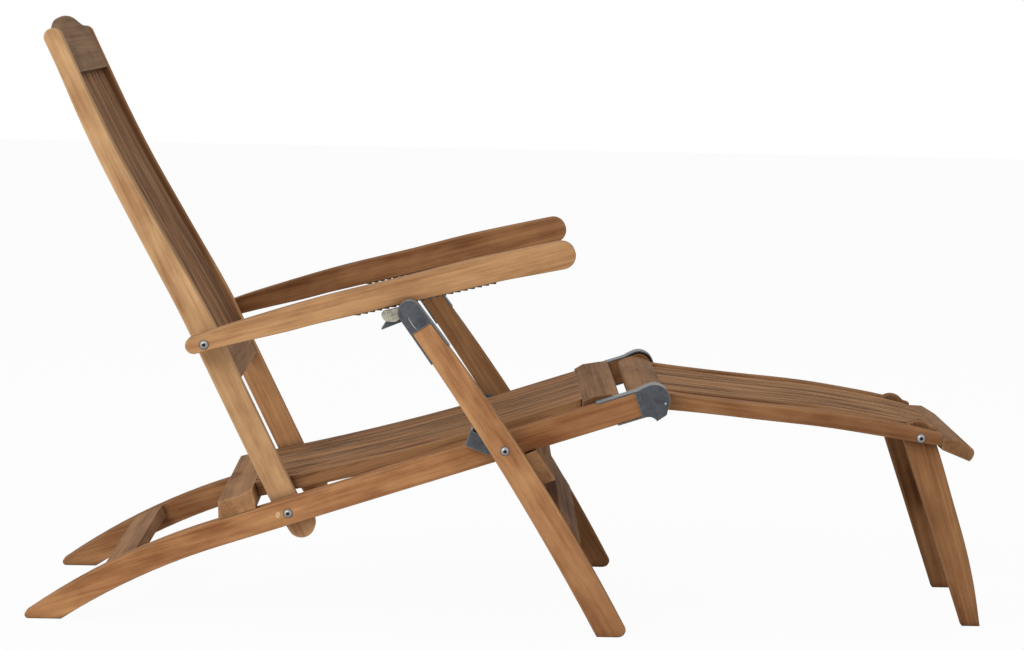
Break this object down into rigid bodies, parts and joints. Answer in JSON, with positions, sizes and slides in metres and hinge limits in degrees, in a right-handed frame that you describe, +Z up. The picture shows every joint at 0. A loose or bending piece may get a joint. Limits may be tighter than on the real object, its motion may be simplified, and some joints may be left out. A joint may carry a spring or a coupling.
{
  "type": "steamer deck chair",
  "caption": "Folding hardwood deck chair with a slatted seat, reclining slatted back, curved arms on rack catches and a slatted footrest on its own folding legs.",
  "frame": {"origin": "on the floor under the middle of the chair", "axes": "+X to the sitter's feet, +Y to the sitter's left, +Z up"},
  "size_m": [1.5194, 0.5976, 0.9426],
  "materials": {
    "teak": "oiled, lightly weathered",
    "galvanised_sheet": "galvanised",
    "zinc_casting": "cast, plain",
    "stainless_steel": "bright"
  },
  "bodies": {
    "frame": {"side_rail_left": "teak", "side_rail_right": "teak", "rear_stretcher": "teak", "seat_rear_rail": "teak", "seat_middle_rail": "teak", "seat_front_rail": "teak", "seat_slat_middle": "teak", "seat_slat_pair_1": "teak", "seat_slat_pair_2": "teak", "seat_slat_pair_3": "teak", "seat_slat_pair_4": "teak", "hinge_plate_left": "galvanised_sheet", "hinge_plate_right": "galvanised_sheet", "hinge_pins": "stainless_steel", "hinge_spacers": "stainless_steel", "pivot_bracket_left": "galvanised_sheet", "pivot_bracket_right": "galvanised_sheet"},
    "back_pivots": {"back_pivot_bolts": "stainless_steel", "back_washers": "stainless_steel"},
    "back": {"back_stile_left": "teak", "back_stile_right": "teak", "crest_rail": "teak", "back_lower_rail": "teak", "back_slat_middle": "teak", "back_slat_pair_1": "teak", "back_slat_pair_2": "teak", "back_slat_pair_3": "teak", "back_slat_pair_4": "teak", "arm_packers": "teak"},
    "arm_pivot_left": {"arm_bolt_left": "stainless_steel"},
    "arm_pivot_right": {"arm_bolt_right": "stainless_steel"},
    "arm_left": {"arm_left": "teak", "rack_left": "galvanised_sheet"},
    "arm_right": {"arm_right": "teak", "rack_right": "galvanised_sheet"},
    "leg_frame": {"front_leg_left": "teak", "front_leg_right": "teak", "leg_stretcher": "teak", "leg_cap_left": "galvanised_sheet", "leg_cap_right": "galvanised_sheet", "catch_block_left": "zinc_casting", "catch_block_right": "zinc_casting", "catch_pins": "stainless_steel", "leg_pivot_bolts": "stainless_steel"},
    "catch_left": {"catch_lever_left": "galvanised_sheet"},
    "catch_right": {"catch_lever_right": "galvanised_sheet"},
    "footrest": {"footrest_rail_left": "teak", "footrest_rail_right": "teak", "footrest_rear_rail": "teak", "footrest_end_rail": "teak", "footrest_slat_middle": "teak", "footrest_slat_pair_1": "teak", "footrest_slat_pair_2": "teak", "footrest_slat_pair_3": "teak", "footrest_slat_pair_4": "teak", "foot_pivot_bolts": "stainless_steel", "foot_washers": "stainless_steel"},
    "footrest_legs": {"footrest_leg_left": "teak", "footrest_leg_right": "teak", "footrest_leg_stretcher": "teak"}
  },
  "joints": [
    {"name": "front_leg_fold", "type": "hinge", "parent": "frame", "child": "leg_frame", "pos_m": [-0.009, 0, 0.29], "axis": [0, 1, 0], "range_deg": [0, 95]},
    {"name": "back_fold", "type": "hinge", "parent": "back_pivots", "child": "back", "pos_m": [-0.347, 0, 0.175], "axis": [0, 1, 0], "range_deg": [0, 74.11]},
    {"name": "back_recline", "type": "hinge", "parent": "back_pivots", "child": "frame", "pos_m": [-0.347, 0, 0.175], "axis": [0, -1, 0], "range_deg": [-10, 10]},
    {"name": "arm_fold_left", "type": "hinge", "parent": "back", "child": "arm_pivot_left", "pos_m": [-0.478, 0.247, 0.443], "axis": [0, 1, 0], "range_deg": [-101.09, 0]},
    {"name": "arm_swing_left", "type": "hinge", "parent": "arm_pivot_left", "child": "arm_left", "pos_m": [-0.478, 0.247, 0.443], "axis": [0, 1, 0], "range_deg": [-7.91, 7.91]},
    {"name": "arm_fold_right", "type": "hinge", "parent": "back", "child": "arm_pivot_right", "pos_m": [-0.478, -0.247, 0.443], "axis": [0, 1, 0], "range_deg": [-101.09, 0]},
    {"name": "arm_swing_right", "type": "hinge", "parent": "arm_pivot_right", "child": "arm_right", "pos_m": [-0.478, -0.247, 0.443], "axis": [0, 1, 0], "range_deg": [-7.91, 7.91]},
    {"name": "footrest_fold", "type": "hinge", "parent": "frame", "child": "footrest", "pos_m": [0.224, 0, 0.365], "axis": [0, 1, 0], "range_deg": [-24, 55]},
    {"name": "footrest_leg_fold", "type": "hinge", "parent": "footrest", "child": "footrest_legs", "pos_m": [0.65, 0, 0.307], "axis": [0, 1, 0], "range_deg": [0, 95]},
    {"name": "catch_left_press", "type": "hinge", "parent": "leg_frame", "child": "catch_left", "pos_m": [-0.163, 0.25, 0.492], "axis": [0, 1, 0], "range_deg": [-10, 0]},
    {"name": "catch_right_press", "type": "hinge", "parent": "leg_frame", "child": "catch_right", "pos_m": [-0.163, -0.25, 0.492], "axis": [0, 1, 0], "range_deg": [-10, 0]}
  ],
  "couplings": [
    {"joint": "back_fold", "follows": "front_leg_fold", "ratio": 0.78},
    {"joint": "arm_fold_left", "follows": "front_leg_fold", "ratio": -1.064},
    {"joint": "arm_swing_left", "follows": "back_recline", "ratio": -0.79},
    {"joint": "arm_fold_right", "follows": "front_leg_fold", "ratio": -1.064},
    {"joint": "arm_swing_right", "follows": "back_recline", "ratio": -0.79}
  ]
}
